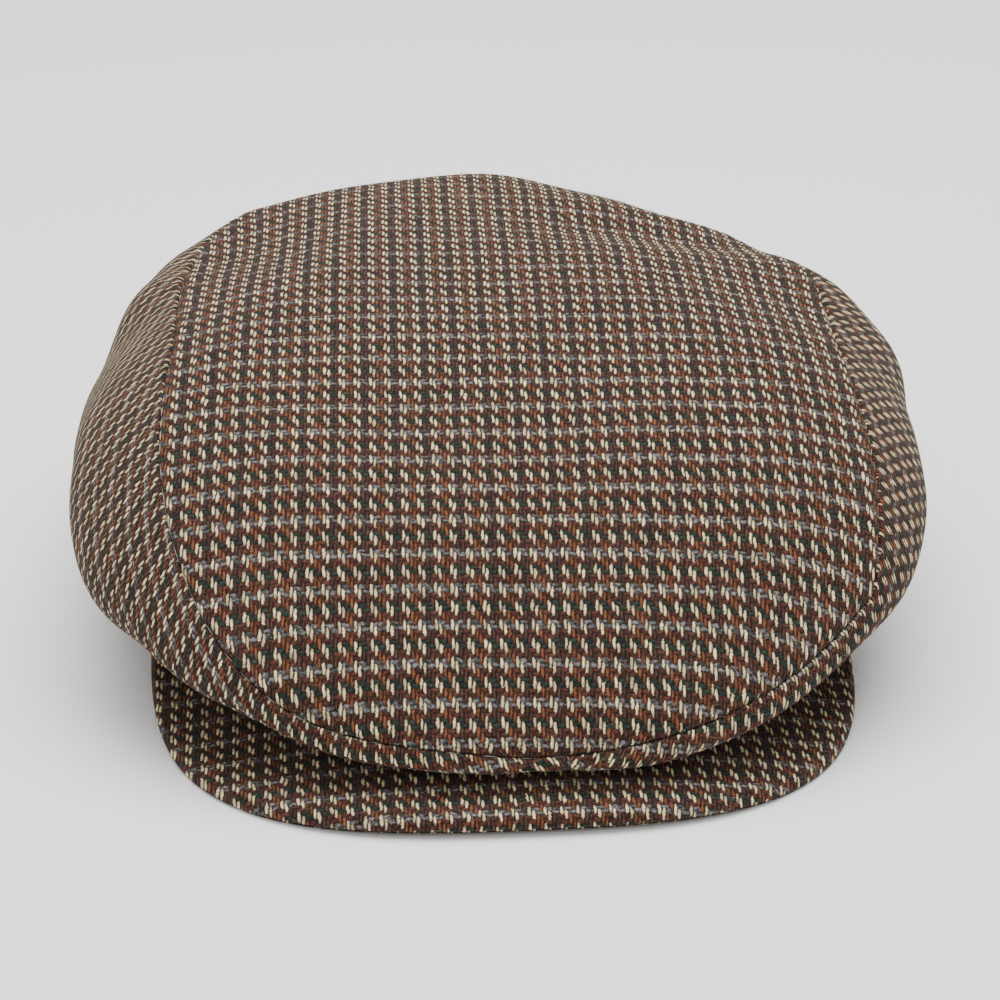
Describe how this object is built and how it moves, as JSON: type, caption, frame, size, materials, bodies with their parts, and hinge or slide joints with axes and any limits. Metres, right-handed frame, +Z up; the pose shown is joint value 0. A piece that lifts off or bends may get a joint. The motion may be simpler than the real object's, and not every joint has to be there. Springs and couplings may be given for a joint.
{
  "type": "flat cap",
  "caption": "Woven tweed flat cap with a crown of a top panel and two side panels drawn forward over a short stiff peak.",
  "frame": {"origin": "middle of the bounding box's bottom, on the surface the cap stands on", "axes": "+Z up, -Y forward to the front of the peak, +X to the right of somebody who looks at the front of the peak"},
  "size_m": [0.236, 0.2846, 0.0919],
  "materials": {
    "tweed": "matt, brushed woollen twill in brown, rust, cream and dark green",
    "wadding": "matt felted wadding",
    "lining": "smooth satin lining",
    "board": "matt moulded board",
    "band_leather": "soft, low sheen",
    "tape": "matt woven cotton tape",
    "label": "blank woven label",
    "stud_metal": "nickel, worn"
  },
  "bodies": {
    "base": {"peak_board": "board", "peak_top_cover": "tweed", "peak_under_cover": "tweed", "sweatband": "band_leather", "stay_tape": "tape", "size_tab": "label", "snap_stud": "stud_metal"},
    "crown": {"top_panel": "tweed", "side_panel_left": "tweed", "side_panel_right": "tweed", "top_interlining": "wadding", "side_interlining_left": "wadding", "side_interlining_right": "wadding", "top_lining": "lining", "side_lining_left": "lining", "side_lining_right": "lining", "blank_label": "label", "snap_socket": "stud_metal"}
  },
  "joints": [
    {"name": "crown_lift", "type": "hinge", "parent": "base", "child": "crown", "pos_m": [0, 0.11775, 0], "axis": [-1, 0, 0], "range_deg": [0, 5]}
  ]
}
